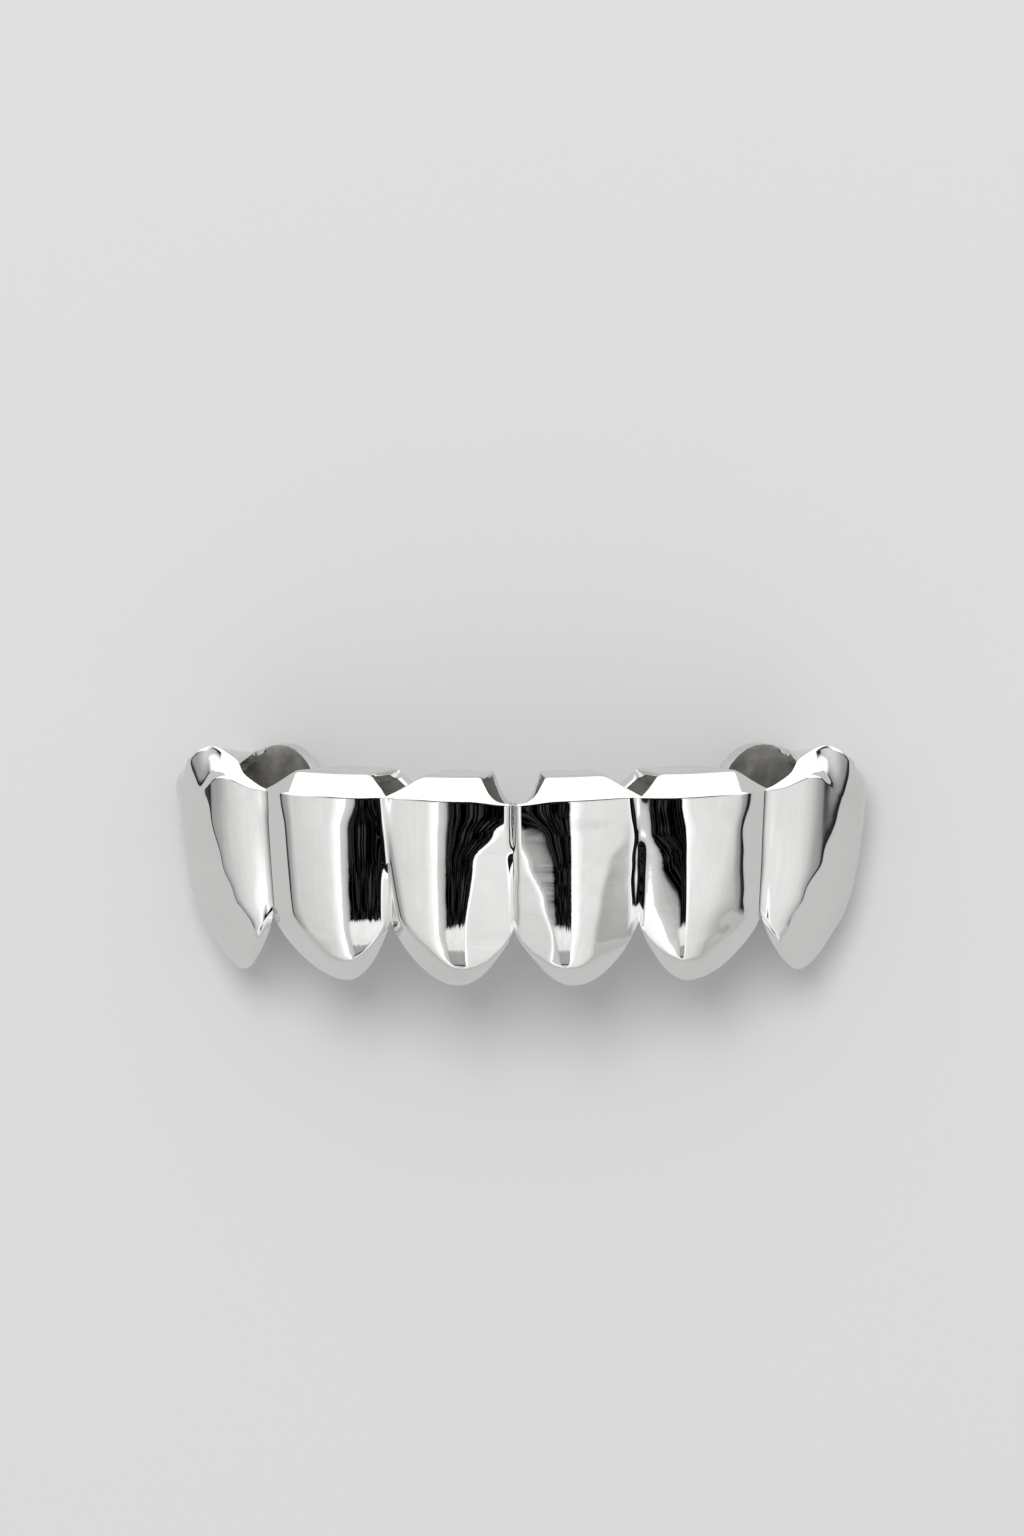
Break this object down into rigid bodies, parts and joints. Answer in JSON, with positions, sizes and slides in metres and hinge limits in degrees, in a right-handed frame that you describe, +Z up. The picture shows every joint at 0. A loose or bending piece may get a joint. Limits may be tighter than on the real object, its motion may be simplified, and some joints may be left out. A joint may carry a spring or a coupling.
{
  "type": "dental grill",
  "caption": "Polished silver lower tooth bar, a row of hollow tooth caps with pointed gum tips and notched biting edge, lying on its back",
  "frame": {"origin": "under the middle of the bar, on the surface that its two back corners lie on", "axes": "X runs along the row of teeth, +Y points to the biting edge, -Y to the gum tips, and +Z is up, where the polished fronts face"},
  "size_m": [0.0388, 0.0128, 0.0127],
  "materials": {
    "polished_silver": "mirror polished"
  },
  "bodies": {
    "root": {"tooth_bar": "polished_silver"}
  },
  "joints": []
}
